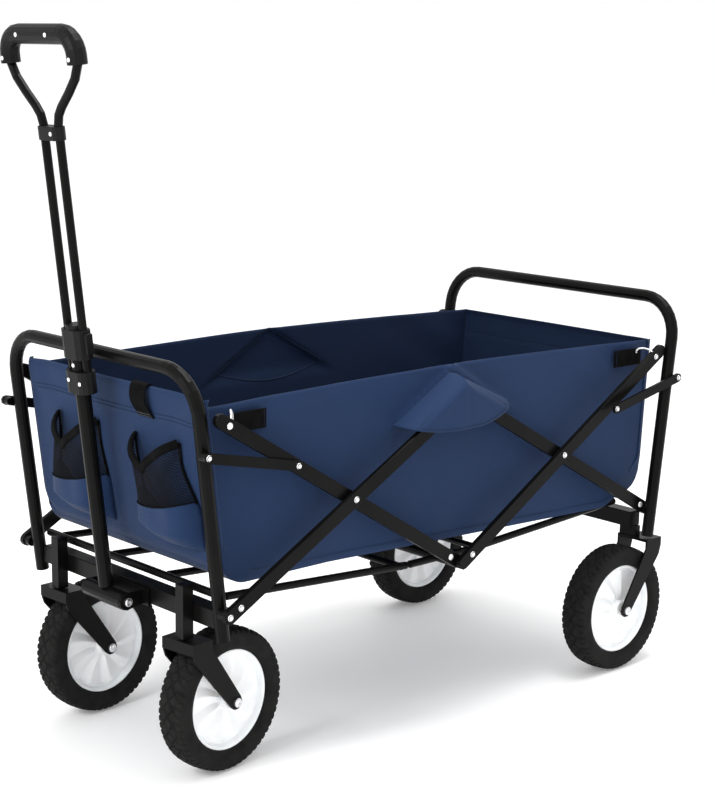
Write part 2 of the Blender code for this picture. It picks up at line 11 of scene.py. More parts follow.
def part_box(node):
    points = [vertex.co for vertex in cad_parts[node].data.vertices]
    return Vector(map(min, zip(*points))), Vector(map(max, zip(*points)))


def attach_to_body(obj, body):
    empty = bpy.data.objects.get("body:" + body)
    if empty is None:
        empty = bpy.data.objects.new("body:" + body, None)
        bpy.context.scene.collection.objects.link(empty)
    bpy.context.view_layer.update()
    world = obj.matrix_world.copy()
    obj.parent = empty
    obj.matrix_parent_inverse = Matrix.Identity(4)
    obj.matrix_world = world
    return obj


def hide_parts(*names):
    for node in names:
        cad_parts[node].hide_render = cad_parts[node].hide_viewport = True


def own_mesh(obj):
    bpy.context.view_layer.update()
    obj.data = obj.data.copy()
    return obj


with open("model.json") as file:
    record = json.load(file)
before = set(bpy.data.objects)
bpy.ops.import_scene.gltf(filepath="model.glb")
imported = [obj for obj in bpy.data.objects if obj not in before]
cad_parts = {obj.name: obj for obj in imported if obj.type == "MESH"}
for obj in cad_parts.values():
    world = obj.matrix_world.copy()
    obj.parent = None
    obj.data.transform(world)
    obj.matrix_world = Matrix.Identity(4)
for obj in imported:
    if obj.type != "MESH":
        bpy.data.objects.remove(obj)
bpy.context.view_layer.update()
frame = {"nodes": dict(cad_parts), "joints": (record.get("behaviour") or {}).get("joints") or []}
nodes = frame["nodes"]
joint_at = {joint["name"]: Vector(joint["pos_m"]) for joint in frame["joints"] if "pos_m" in joint}
joint_axis = {joint["name"]: Vector(joint["axis"]).normalized() for joint in frame["joints"]}

# ---- places read from the frame -------------------------------------------------------------------
MID_X = joint_at["fold"].x                       # the scissors' middle
PANEL_LOW, PANEL_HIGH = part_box("basket_front_panel")
PANEL = 0.005                                    # thickness of the CAD's fabric solids
HALF_Y = PANEL_HIGH.y                            # outer face of the basket's sides
RIM_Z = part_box("basket_side_panel_left")[1].z
FLOOR_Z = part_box("basket_floor")[0].z
BAR_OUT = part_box("front_outer_bar_left")[1].y    # outermost rivet face of the outer bars
TOP_PIVOT = joint_at["top_pivot_left"]


# ---- camera ---------------------------------------------------------------------------------------
CAMERA_PLACE = (MID_X + 1.7992, 1.9777, 0.9795)
YAW, PITCH, ROLL = -2.31124, -0.19468, 0.01360   # radians
FOCAL_MM, SENSOR_MM = 81.05, 36.0
SHIFT_X, SHIFT_Y = 0.0014, -0.0030


def camera():
    """The photograph's view: from the front left, slightly above."""
    forward = Vector((math.cos(YAW) * math.cos(PITCH), math.sin(YAW) * math.cos(PITCH), math.sin(PITCH)))
    right = forward.cross(Vector((0, 0, 1))).normalized()
    up = right.cross(forward)
    level_right = right * math.cos(ROLL) + up * math.sin(ROLL)
    level_up = up * math.cos(ROLL) - right * math.sin(ROLL)
    turn = Matrix((level_right, level_up, -forward)).transposed().to_4x4()
    data = bpy.data.cameras.new("camera")
    data.lens = FOCAL_MM
    data.sensor_width = SENSOR_MM
    data.shift_x = SHIFT_X
    data.shift_y = SHIFT_Y
    data.dof.use_dof = False
    thing = bpy.data.objects.new("camera", data)
    bpy.context.scene.collection.objects.link(thing)
    thing.matrix_world = Matrix.Translation(CAMERA_PLACE) @ turn
    bpy.context.scene.camera = thing


# ---- materials ------------------------------------------------------------------------------------
class Finish:
    """A Principled material with a few shorthands for its node tree."""

    def __init__(self, name, colour, roughness, **values):
        self.material = bpy.data.materials.new(name)
        self.material.use_nodes = True
        self.tree = self.material.node_tree
        self.shader = self.tree.nodes["Principled BSDF"]
        self.shader.inputs["Base Color"].default_value = (*colour, 1)
        self.shader.inputs["Roughness"].default_value = roughness
        for key, value in values.items():
            self.shader.inputs[key.replace("_", " ")].default_value = value
        place = self.tree.nodes.new("ShaderNodeTexCoord")
        self.place = place.outputs["Object"]

    def node(self, kind, inputs=(), **settings):
        made = self.tree.nodes.new(kind)
        for key, value in settings.items():
            setattr(made, key, value)
        for key, value in dict(inputs).items():
            if isinstance(value, bpy.types.NodeSocket):
                self.tree.links.new(value, made.inputs[key])
            else:
                made.inputs[key].default_value = value
        return made

    def noise(self, scale, detail):
        return self.node("ShaderNodeTexNoise", {"Vector": self.place, "Scale": scale,
                                                "Detail": detail}).outputs["Fac"]

    def ramp(self, fac, stops):
        made = self.node("ShaderNodeValToRGB", {"Fac": fac})
        first, last = made.color_ramp.elements[0], made.color_ramp.elements[1]
        first.position, first.color = stops[0][0], (*stops[0][1], 1)
        last.position, last.color = stops[-1][0], (*stops[-1][1], 1)
        for position, colour in stops[1:-1]:
            made.color_ramp.elements.new(position).color = (*colour, 1)
        return made.outputs["Color"]

    def spread(self, fac, low, high):
        made = self.node("ShaderNodeMapRange", {"Value": fac, "To Min": low, "To Max": high})
        return made.outputs["Result"]

    def link(self, output, name):
        self.tree.links.new(output, self.shader.inputs[name])

    def cloudy(self, fac, stops):
        """The base colour, between the stops' colours."""
        self.link(self.ramp(fac, stops), "Base Color")

    def worn(self, fac, low, high):
        """The roughness, between two values."""
        self.link(self.spread(fac, low, high), "Roughness")

    def bump(self, height, strength, distance):
        made = self.node("ShaderNodeBump", {"Height": height, "Strength": strength, "Distance": distance})
        self.link(made.outputs["Normal"], "Normal")

    def wave(self, scale, direction):
        return self.node("ShaderNodeTexWave", {"Vector": self.place, "Scale": scale},
                         bands_direction=direction).outputs["Fac"]

    def maths(self, operation, first, second):
        return self.node("ShaderNodeMath", {0: first, 1: second}, operation=operation).outputs[0]


def powder_coat():
    """Black satin powder coat with a fine orange peel."""
    finish = Finish("powder_coat", (0.006, 0.006, 0.006), 0.28, Specular_IOR_Level=0.08)
    fine = finish.noise(900.0, 2.0)
    cloud = finish.noise(14.0, 4.0)
    finish.cloudy(cloud, [(0.3, (0.0022, 0.0021, 0.0020)), (0.7, (0.0048, 0.0045, 0.0043))])
    finish.worn(cloud, 0.24, 0.36)
    finish.bump(fine, 0.16, 0.0004)
    return finish.material


def moulded_black():
    """Black moulded plastic with a fine spark-eroded grain."""
    finish = Finish("moulded_black", (0.007, 0.007, 0.0075), 0.42, Specular_IOR_Level=0.12)
    grain = finish.noise(1500.0, 3.0)
    cloud = finish.noise(30.0, 3.0)
    finish.cloudy(cloud, [(0.3, (0.0040, 0.0040, 0.0043)), (0.7, (0.0070, 0.0070, 0.0074))])
    finish.worn(grain, 0.36, 0.52)
    finish.bump(grain, 0.25, 0.0003)
    return finish.material


def zinc():
    """Zinc-plated steel with faint circular wear."""
    finish = Finish("zinc", (0.78, 0.78, 0.80), 0.28, Metallic=1.0)
    cloud = finish.noise(260.0, 4.0)
    finish.cloudy(cloud, [(0.3, (0.62, 0.62, 0.64)), (0.7, (0.86, 0.86, 0.88))])
    finish.worn(cloud, 0.20, 0.38)
    return finish.material


def rivet_white():
    """Bright nickelled rivet head."""
    finish = Finish("rivet_white", (0.88, 0.88, 0.89), 0.24, Metallic=0.55)
    cloud = finish.noise(400.0, 2.0)
    finish.worn(cloud, 0.18, 0.32)
    finish.cloudy(cloud, [(0.2, (0.80, 0.80, 0.82)), (0.8, (0.93, 0.93, 0.94))])
    return finish.material


def hub_white():
    """White moulded plastic, slightly uneven in gloss."""
    finish = Finish("hub_white", (0.90, 0.91, 0.92), 0.32, Subsurface_Weight=0.05)
    cloud = finish.noise(40.0, 3.0)
    finish.cloudy(cloud, [(0.3, (0.88, 0.89, 0.90)), (0.7, (0.93, 0.94, 0.95))])
    finish.worn(cloud, 0.26, 0.40)
    finish.bump(finish.noise(500.0, 2.0), 0.05, 0.0003)
    return finish.material


def rubber():
    """Matt black rubber, unevenly dusty."""
    finish = Finish("rubber", (0.011, 0.011, 0.011), 0.75, Specular_IOR_Level=0.12)
    cloud = finish.noise(55.0, 5.0)
    finish.cloudy(cloud, [(0.35, (0.0065, 0.0064, 0.0063)), (0.75, (0.0150, 0.0146, 0.0142))])
    finish.worn(cloud, 0.68, 0.92)
    finish.bump(finish.noise(700.0, 4.0), 0.35, 0.0005)
    return finish.material


def weave(name, dark, light, roughness, pitch=1300.0, strength=0.35, sheen=0.06):
    """Coated woven polyester: a fine crossed weave, cloudy colour and a soft sheen."""
    finish = Finish(name, light, roughness, Sheen_Weight=sheen, Sheen_Roughness=0.45,
                    Specular_IOR_Level=0.09)
    warp = finish.wave(pitch, "X")
    weft = finish.wave(pitch, "Z")
    cross = finish.wave(pitch, "Y")
    thread = finish.maths("MULTIPLY", finish.maths("ADD", warp, cross), weft)
    cloud = finish.noise(7.0, 5.0)
    colour = finish.ramp(cloud, [(0.25, dark), (0.75, light)])
    mixed = finish.node("ShaderNodeMix", {6: colour, 7: (dark[0] * 0.7, dark[1] * 0.7, dark[2] * 0.7, 1)},
                        data_type="RGBA")
    finish.tree.links.new(finish.spread(thread, 0.0, 0.30), mixed.inputs[0])
    finish.link(mixed.outputs[2], "Base Color")
    finish.worn(cloud, roughness - 0.08, roughness + 0.08)
    height = finish.maths("ADD", finish.maths("MULTIPLY", thread, 0.5), finish.noise(160.0, 3.0))
    finish.bump(height, strength, 0.0004)
    return finish.material


def ribbed_webbing():
    """Black woven webbing with ribs along its length."""
    finish = Finish("ribbed_webbing", (0.006, 0.006, 0.0065), 0.78, Sheen_Weight=0.0, Specular_IOR_Level=0.05)
    ribs = finish.maths("MULTIPLY", finish.wave(420.0, "Z"), finish.wave(420.0, "Y"))
    cloud = finish.noise(60.0, 3.0)
    finish.cloudy(cloud, [(0.3, (0.0022, 0.0022, 0.0024)), (0.7, (0.0048, 0.0048, 0.0052))])
    finish.bump(ribs, 0.5, 0.0006)
    return finish.material


class Looks:
    """Every material of the object, made once."""
    steel = powder_coat()
    plastic = moulded_black()
    zinc = zinc()
    rivet = rivet_white()
    hub = hub_white()
    rubber = rubber()
    navy = weave("navy_canvas", (0.0105, 0.0270, 0.0760), (0.0150, 0.0345, 0.0930), 0.60)
    # A darker copy of the navy cloth: painted shade for the dim inside of the basket.
    shaded_navy = weave("navy_painted_shade", (0.0050, 0.0140, 0.0400), (0.0075, 0.0180, 0.0500), 0.66)
    net = weave("pocket_net", (0.0050, 0.0060, 0.0090), (0.0090, 0.0105, 0.0150), 0.75, 600.0, 0.2, 0.03)
    webbing = ribbed_webbing()
    thread = weave("thread", (0.010, 0.018, 0.042), (0.020, 0.032, 0.065), 0.70, 2500.0, 0.3, 0.03)
    pale_thread = weave("pale_thread", (0.22, 0.23, 0.25), (0.34, 0.35, 0.37), 0.70, 2500.0, 0.3, 0.03)


# ---- mesh tools -----------------------------------------------------------------------------------
def add(name, data, look, sharp=38.0):
    """An object from a bmesh, smooth except at its sharp edges."""
    bmesh.ops.recalc_face_normals(data, faces=data.faces)
    mesh = bpy.data.meshes.new(name)
    data.to_mesh(mesh)
    data.free()
    mesh.materials.append(look)
    mesh.shade_smooth()
    mesh.set_sharp_from_angle(angle=math.radians(sharp))
    thing = bpy.data.objects.new(name, mesh)
    bpy.context.scene.collection.objects.link(thing)
    return thing


def grid(place, across, along, closed=False):
    """A sheet of quads: place(u, v) gives each point for u and v from 0 to 1."""
    data = bmesh.new()
    rows = [[data.verts.new(place(i / across, j / along)) for j in range(along + 1)]
            for i in range(across + (0 if closed else 1))]
    for i in range(across):
        near, far = rows[i], rows[(i + 1) % len(rows)]
        for j in range(along):
            data.faces.new((near[j], far[j], far[j + 1], near[j + 1]))
    return data


def thicken(thing, thickness):
    """Gives a sheet its real thickness, half to each side, and applies it."""
    step = thing.modifiers.new("thickness", 'SOLIDIFY')
    step.thickness = thickness
    step.offset = 0.0
    graph = bpy.context.evaluated_depsgraph_get()
    mesh = bpy.data.meshes.new_from_object(thing.evaluated_get(graph))
    thing.modifiers.clear()
    thing.data = mesh


def paint_inside_shade(thing, faces_in):
    """Gives the faces that look into the basket a darker copy of the cloth: painted shade for the dim inside.
    """
    thing.data.materials.append(Looks.shaded_navy)
    for face in thing.data.polygons:
        if faces_in(face):
            face.material_index = 1


def tube(data, path, radius, sides, flat=1.0):
    """Adds a round or flattened tube along a path to a bmesh."""
    points = [Vector(point) for point in path]
    rings = []
    for index, point in enumerate(points):
        before = points[max(index - 1, 0)]
        after = points[min(index + 1, len(points) - 1)]
        forward = (after - before).normalized()
        side = forward.cross(Vector((0, 0, 1)))
        if side.length < 1e-4:
            side = forward.cross(Vector((1, 0, 0)))
        side.normalize()
        top = side.cross(forward).normalized()
        rings.append([data.verts.new(point + radius * math.cos(a) * side + radius * flat * math.sin(a) * top)
                      for a in (2 * math.pi * step / sides for step in range(sides))])
    for first, second in zip(rings, rings[1:]):
        for step in range(sides):
            after = (step + 1) % sides
            data.faces.new((first[step], first[after], second[after], second[step]))
    data.faces.new(rings[0])
    data.faces.new(rings[-1])


def strap(name, path, width, thickness, wide, look):
    """Flat webbing along a path; wide is the direction of its width, or one for each point."""
    data = bmesh.new()
    points = [Vector(point) for point in path]
    rings = []
    for index, point in enumerate(points):
        before = points[max(index - 1, 0)]
        after = points[min(index + 1, len(points) - 1)]
        forward = (after - before).normalized()
        side = (wide[index] if isinstance(wide, list) else wide).normalized()
        face = forward.cross(side).normalized()
        half, deep = side * width / 2, face * thickness / 2
        edge = side * (width / 2 - thickness * 0.4)
        rings.append([data.verts.new(point + corner) for corner in
                      (half, edge + deep, -edge + deep, -half, -edge - deep, edge - deep)])
    for first, second in zip(rings, rings[1:]):
        for step in range(6):
            after = (step + 1) % 6
            data.faces.new((first[step], first[after], second[after], second[step]))
    data.faces.new(rings[0])
    data.faces.new(rings[-1])
    return add(name, data, look, 50)


def stitches(name, paths, out, pitch=0.0042, size=0.00042, look=Looks.thread):
    """Rows of short raised stitches along paths, a little proud of the cloth in the direction out."""
    data = bmesh.new()
    for path in paths:
        points = [Vector(point) for point in path]
        lengths = [(b - a).length for a, b in zip(points, points[1:])]
        total = sum(lengths)

        def at(distance):
            for index, length in enumerate(lengths):
                if distance <= length or index == len(lengths) - 1:
                    return points[index].lerp(points[index + 1], min(distance / length, 1.0))
                distance -= length

        for step in range(int(total / pitch)):
            start = at(step * pitch + pitch * 0.14)
            end = at(step * pitch + pitch * 0.82)
            proud = out * size
            middle = (start + end) / 2 + proud
            tube(data, [start - proud * 0.4, middle, end - proud * 0.4], size, 5)
    return add(name, data, look, 60)


def attach(body, slot, *pieces):
    """Pieces that move with a body; the slot is not used."""
    for piece in pieces:
        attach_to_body(piece, body)


def attach_to_walls(slot, *pieces):
    """Pieces of the basket's long walls ride the middle, each with its own copy of its mesh."""
    attach("centre", slot, *pieces)
    for piece in pieces:
        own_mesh(piece)


def smooth(value, low, high):
    """0 below low, 1 above high, and smooth between."""
    share = min(max((value - low) / (high - low), 0.0), 1.0)
    return share * share * (3 - 2 * share)


def hill(value, centre, width):
    """A smooth bump of height 1."""
    return math.exp(-((value - centre) / width) ** 2)


# ---- basket ---------------------------------------------------------------------------------------
def end_x(height, end=1):
    """How far an end panel's outer face is from the middle at a height; the rear one hangs upright."""
    share = (height - PANEL_LOW.z) / (PANEL_HIGH.z - PANEL_LOW.z)
    low, high = PANEL_LOW.x + PANEL - MID_X, PANEL_HIGH.x - MID_X
    if end < 0:
        low, high = low + 0.027, high + 0.013
    return low + (high - low) * share


# The third is the black sheet behind the pocket nets, painted shade.
CLOTH, THIN_CLOTH, SHADE_SHEET_CLOTH = 0.0011, 0.0010, 0.0006   # thickness of the fabrics
CORNER = 0.042               # rounding of the basket's lower corners
SHELL_Y = HALF_Y - 0.0012    # middle of the side walls' cloth
FLOOR_HALF = 0.1930          # half the width of the flat floor
FLOOR_TURN = 0.012           # how much cloth turns from the floor to the wall
HEM = 0.030                  # depth of the rim's hem


def lift(distance, radius):
    """How far an edge rises at a distance inside a rounded corner."""
    if distance >= radius:
        return 0.0
    short = radius - max(distance, 0.0)
    return radius - math.sqrt(max(radius * radius - short * short, 0.0))


def hem_z(x):
    """The side walls' lower edge hangs below the floor, lowest near the rear."""
    return 0.2725 + 0.034 * x + 0.0185 * smooth(-x, 0.350, 0.402)


def rim_sag(x):
    """The rim is highest over the middle pivot and lowest at the corners."""
    share = min(abs(x) / 0.44, 1.0)
    return 0.0045 - (0.0085 if x > 0 else 0.0092) * share ** 1.5


def side_bulge(x, z):
    """How far the side cloth stands out from its plane, with soft folds."""
    height = (z - FLOOR_Z) / (RIM_Z - FLOOR_Z)
    belly = 0.0035 * math.sin(math.pi * min(max(height, 0), 1)) * math.cos(x * 3.4)
    pull = smooth(abs(x), 0.20, 0.40) * smooth(z, 0.34, 0.50)
    drag = 0.0014 * math.sin((abs(x) * 0.8 + z * 1.3) * 52.0) * pull
    low = 0.0012 * math.sin(x * 46.0 + 3.0 * math.sin(x * 9.0)) * (1 - smooth(z, 0.29, 0.35))
    soft = 0.0026 * noise.noise(Vector((x * 6.0, 0.7, z * 8.0)))
    return belly + drag + low + soft


def pivot_recess(x, z):
    """The cloth is pushed out round the upper middle pivot, with a crease at its edge."""
    slope = (RIM_Z + 0.006 - z) * 1.62
    inside = smooth(slope - abs(x + 0.006), -0.003, 0.005) * smooth(z, 0.44, 0.47)
    return 0.0055 * inside


def shell_point(u, v):
    """The basket's U: one side, the floor and the other side, along its length."""
    share = 2 * u - 1
    bottom = FLOOR_Z - 0.0008
    flat, drop = FLOOR_HALF, FLOOR_TURN
    rise = RIM_Z - bottom
    total = flat + drop + rise
    reach = abs(2 * v - 1) * total
    side = 1 if v >= 0.5 else -1
    end = 1 if share >= 0 else -1
    height = 0.0 if reach < flat + drop else (reach - flat - drop) / rise
    z = bottom + rise * height
    x = share * (end_x(max(z, FLOOR_Z), end) - 0.0014)
    reach_in = end_x(max(z, FLOOR_Z), end) - abs(x)
    corner = lift(reach_in, CORNER) * (1 - smooth(z, FLOOR_Z, FLOOR_Z + CORNER * 1.6))
    low = min(hem_z(x), bottom)
    if reach <= flat:
        y = reach
        z = bottom + corner - 0.0030 * math.cos(y * 7.5) * (1 - share * share)
    elif reach <= flat + drop:
        turn = (reach - flat) / drop
        y = flat + 0.0035 + (SHELL_Y - flat - 0.0035) * turn
        z = corner + bottom + (low - bottom) * math.sin(math.pi / 2 * min(turn * 1.6, 1.0))
    else:
        y = SHELL_Y
        z = corner * (1 - height) + low + (RIM_Z - low) * height
    wall = smooth(height, 0.0, 0.10)
    z += rim_sag(x) * smooth(z, RIM_Z - 0.12, RIM_Z)
    out = (side_bulge(x, z) + pivot_recess(x, z)) * wall
    out *= smooth(end_x(max(z, FLOOR_Z), end) - abs(x), -0.002, 0.045)
    hem = 0.0002 * smooth(z, RIM_Z - HEM - 0.0008 + rim_sag(x), RIM_Z - HEM + 0.0008 + rim_sag(x))
    foot = 0.0008 * (1 - smooth(z - low, 0.0080, 0.0095)) if height > 0 else 0.0
    return Vector((MID_X + x, side * (y + out + hem * wall + foot), z))


def wall_line(side, rows, inside=False):
    """Points on a side wall at (x, z) places, just outside or just inside the cloth."""
    points = []
    for x, z in rows:
        end = 1 if x >= 0 else -1
        taper = smooth(end_x(z, end) - abs(x), -0.002, 0.045)
        out = (side_bulge(x, z) + pivot_recess(x, z)) * taper
        skin = -0.0010 if inside else 0.0014
        points.append((MID_X + x, side * (SHELL_Y + out + skin), z))
    return points


# The seam of the flap on the inside of each wall, as (x, z).
SEAM_APEX, SEAM_LEFT, SEAM_RIGHT = (-0.006, 0.5300), (-0.116, 0.4665), (0.100, 0.4665)


def basket_shell():
    """The side walls and the floor, one sheet."""
    shell = add("basket_shell", grid(shell_point, 170, 190), Looks.navy, 60)
    thicken(shell, CLOTH)
    # Faces looking into the basket take the painted-shade copy of the navy.
    paint_inside_shade(shell, lambda face: face.normal.y * face.center.y < -0.004
                if abs(face.center.y) > FLOOR_HALF + 0.003 else face.normal.z > 0)
    attach_to_walls("navy_fabric", shell)
    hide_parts("basket_side_panel_left", "basket_side_panel_right", "basket_floor")
    steps = [-0.430 + 0.855 * step / 90 for step in range(91)]
    for side, word in ((1, "left"), (-1, "right")):
        low = [(x, hem_z(x) + 0.0105) for x in steps if -0.39 < x < 0.37]
        seam = stitches("wall_stitches_" + word, [wall_line(side, low)], Vector((0, side, 0)))
        data = bmesh.new()
        hollow = []
        for step in range(17):
            share = step / 16
            hollow.append((SEAM_LEFT[0] + (SEAM_RIGHT[0] - SEAM_LEFT[0]) * share,
                           SEAM_LEFT[1] - 0.020 * math.sin(math.pi * share)))
        for rows in ([SEAM_LEFT, SEAM_APEX, SEAM_RIGHT], hollow):
            tube(data, wall_line(side, dense(rows, 0.006), inside=True), 0.00085, 5)
        piping = add("pivot_seam_" + word, data, Looks.thread, 60)
        attach_to_walls("navy_fabric", seam, piping)


def dense(points, step):
    """The same line with points no further apart than step."""
    finer = []
    for first, second in zip(points, points[1:]):
        count = max(int(math.dist(first, second) / step), 1)
        for index in range(count):
            share = index / count
            finer.append(tuple(a + (b - a) * share for a, b in zip(first, second)))
    finer.append(tuple(points[-1]))
    return finer


def end_bulge(y, z):
    """Soft folds of the end panels."""
    height = (z - PANEL_LOW.z) / (PANEL_HIGH.z - PANEL_LOW.z)
    belly = 0.0030 * math.sin(math.pi * min(max(height, 0), 1)) * math.cos(y * 6.5)
    soft = 0.0030 * noise.noise(Vector((y * 9.0, 2.3, z * 7.0)))
    pull = smooth(abs(y), 0.10, 0.19) * smooth(z, 0.42, 0.52)
    drag = 0.0012 * math.sin((abs(y) * 1.2 - z) * 60.0) * pull
    return belly + soft + drag


def end_point(end, u, v):
    """An end panel with its vertical edges turned round the basket's corners."""
    turn_r, wrap = 0.0055, 0.0030
    half = HALF_Y
    flat = half - turn_r
    quarter = turn_r * math.pi / 2
    total = flat + quarter + wrap
    reach = abs(2 * u - 1) * total
    side = 1 if u >= 0.5 else -1
    if reach <= flat:
        y, back = reach, 0.0
    elif reach <= flat + quarter:
        turn = (reach - flat) / turn_r
        y, back = flat + turn_r * math.sin(turn), turn_r * (1 - math.cos(turn))
    else:
        y, back = half, turn_r + reach - flat - quarter
    low = FLOOR_Z + (0.0060 if end > 0 else 0.0010)
    rise = lift(half - y, 0.034) * 0.8
    top = PANEL_HIGH.z - 0.001 - 0.0035 * math.cos(y * 7.0)
    corner = 0.3 * (1 - smooth(half - y, 0.0, 0.070)) if end > 0 else 1.0
    top += (RIM_Z + rim_sag(end * 0.42) - 0.0010 - top) * corner
    z = low + rise + (top - low - rise) * v
    foot = 1 - smooth(z - low - rise, 0.0, 0.034)
    back += 0.020 * foot * foot
    hem = 0.0009 * smooth(z, top - 0.044, top - 0.042)
    out = (end_bulge(side * y, z) * smooth(half - y, 0.0, 0.05)) * (1 - foot) + hem
    rolled = 0.0030 * smooth(z, top - 0.006, top)
    x = end_x(z, end) - 0.0010 + out - back - rolled
    return Vector((MID_X + end * x, side * y, z))


def end_panels():
    """The front and the rear panel, each with two rows of stitches below its rim."""
    for end, word in ((1, "front"), (-1, "rear")):
        panel = add(f"{word}_panel", grid(lambda u, v: end_point(end, u, v), 110, 70), Looks.navy, 60)
        thicken(panel, CLOTH)
        # Faces looking into the basket take the painted-shade copy of the navy.
        paint_inside_shade(panel, lambda face: face.normal.x * end < 0)
        attach(word + "_chassis", "navy_fabric", panel)
        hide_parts(f"basket_{word}_panel")
        rows = []
        for down in (0.036, 0.0415):
            row = []
            for step in range(81):
                u = 0.06 + 0.88 * step / 80
                top = end_point(end, u, 1.0)
                v = 1 - down / (top.z - FLOOR_Z)
                row.append(end_point(end, u, v) + Vector((end * 0.0008, 0, 0)))
            rows.append(row)
        seam = stitches(f"{word}_panel_stitches", rows, Vector((end, 0, 0)))
        inner = stitches(f"{word}_panel_inner_stitches",
                         [[point - Vector((end * 0.0017, 0, 0)) for point in row] for row in rows],
                         Vector((-end, 0, 0)))
        attach(word + "_chassis", "navy_fabric", seam, inner)


FLAP_PEAK = (0.0040, RIM_Z - 0.0055)
FLAP_LEFT, FLAP_RIGHT = -0.0960, 0.1140  # the lower corners, towards the rear and the front
FLAP_CORNER_Z, FLAP_LOW_Z = TOP_PIVOT.z - 0.0355, TOP_PIVOT.z - 0.0480


def flap_point(side, u, v):
    """A tent of cloth over the upper middle pivot: v runs from the peak down to the hem."""
    spread = math.sin((2 * u - 1) * math.pi / 2)
    v = 0.015 + 0.985 * v
    edge_left = FLAP_PEAK[0] + (FLAP_LEFT - FLAP_PEAK[0]) * v
    edge_right = FLAP_PEAK[0] + (FLAP_RIGHT - FLAP_PEAK[0]) * v
    x = (edge_left + edge_right) / 2 + spread * (edge_right - edge_left) / 2
    corner_z = FLAP_CORNER_Z + 0.0175 * max(-spread, 0.0)
    base = corner_z + (FLAP_LOW_Z - corner_z) * (1 - abs(spread) ** 2.4)
    z = FLAP_PEAK[1] + (base - FLAP_PEAK[1]) * v
    inset = (1 - abs(spread)) * (edge_right - edge_left) / 2 * 0.51
    share = min(inset / 0.0105, 1.0)
    round_out = math.sqrt(max(1 - (1 - share) ** 2, 0.0))
    seat, over = HALF_Y + 0.0040, BAR_OUT + 0.0016
    fold = 0.0012 * math.sin(spread * 6.0 + 0.6) * v * (1 - abs(spread))
    billow = 0.0030 * v * (1 - spread * spread) * share
    return Vector((MID_X + x, side * (seat + (over - seat) * round_out + abs(fold) + billow), z))


def flaps():
    """The cloth tents over the upper middle pivots, sewn to the side walls."""
    for side, word in ((1, "left"), (-1, "right")):
        flap = add("flap_" + word, grid(lambda u, v: flap_point(side, u, v), 90, 48), Looks.navy, 60)
        thicken(flap, THIN_CLOTH)
        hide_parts("pivot_flap_" + word)
        rows = []
        for edge in (0.16, 0.84):
            rows.append([flap_point(side, edge, 0.05 + 0.92 * step / 30) + Vector((0, side * 0.0007, 0))
                         for step in range(31)])
        rows.append([flap_point(side, 0.02 + 0.96 * step / 50, 0.955) + Vector((0, side * 0.0007, 0))
                     for step in range(51)])
        seam = stitches("flap_stitches_" + word, rows, Vector((0, side, 0)))
        attach_to_walls("navy_fabric", flap, seam)


# ---- cup pockets ----------------------------------------------------------------------------------
POCKET_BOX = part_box("cup_pocket_left")
POCKET_Y = (POCKET_BOX[0].y + POCKET_BOX[1].y) / 2
POCKET_HALF = (POCKET_BOX[1].y - POCKET_BOX[0].y) / 2
POCKET_LOW, POCKET_TOP = POCKET_BOX[0].z, POCKET_BOX[1].z
POCKET_SEAM = POCKET_LOW + 0.054         # where the cloth cup ends and the net begins
STRANDS, STRAND_R, STRAND_SLANT = 30, 0.00048, 1.35
BINDING_WIDTH, BINDING_THICK = 0.0125, 0.0048


def pocket_edge(spread):
    """Height of the pocket's mouth: a V with its low point towards the wagon's right."""
    low, dip = -0.10, 0.040
    if spread < low:
        share = (low - spread) / (1 + low)
        return POCKET_TOP - 0.002 - dip * (1 - share ** 1.5)
    share = (spread - low) / (1 - low)
    return POCKET_TOP - dip * (1 - share ** 0.9)


def foot_edge(spread):
    """Height of the cup's foot, which rises towards the wagon's right."""
    return POCKET_LOW + 0.014 * smooth(-spread, -0.2, 1.0)


def seam_edge(spread):
    """Height of the cup's own mouth, a little lower where it bulges."""
    return POCKET_SEAM + 0.010 * spread * (1 if spread > 0 else 0.4) - 0.004 * (1 - spread * spread)


def pocket_point(side, spread, z):
    """A point on the pocket's bulging front; its foot is wider than its mouth."""
    share = (z - foot_edge(spread)) / (POCKET_TOP - foot_edge(spread))
    wide = 1 - smooth(share, 0.30, 0.85)
    half = POCKET_HALF * (0.96 + 0.22 * wide)
    middle = POCKET_Y - 0.002 + 0.020 * wide if side > 0 else 0.022 - POCKET_Y
    depth = 0.0400 * min(math.sqrt(max(share, 0.0) / 0.14 + 0.02), 1.0) * (1 - 0.40 * share)
    round_off = max(1 - abs(spread) ** 4.5, 0.0)
    crease = 0.0018 * math.sin(spread * 8 + z * 60) * (1 - abs(spread)) * share
    y = middle + spread * half
    return Vector((MID_X + end_x(z) + 0.0012 + depth * round_off + crease, y, z))


def pocket_net(data, side, turn):
    """One family of slanting strands between the seam and the mouth."""
    for index in range(-STRANDS, STRANDS):
        path = []
        for step in range(33):
            share = step / 32
            spread = index / (STRANDS / 2) + turn * (share - 0.5) * STRAND_SLANT
            if abs(spread) > 0.995:
                continue
            z = seam_edge(spread) + (pocket_edge(spread) - seam_edge(spread)) * share
            path.append(pocket_point(side, spread, z))
        if len(path) > 2:
            tube(data, path, STRAND_R, 4)


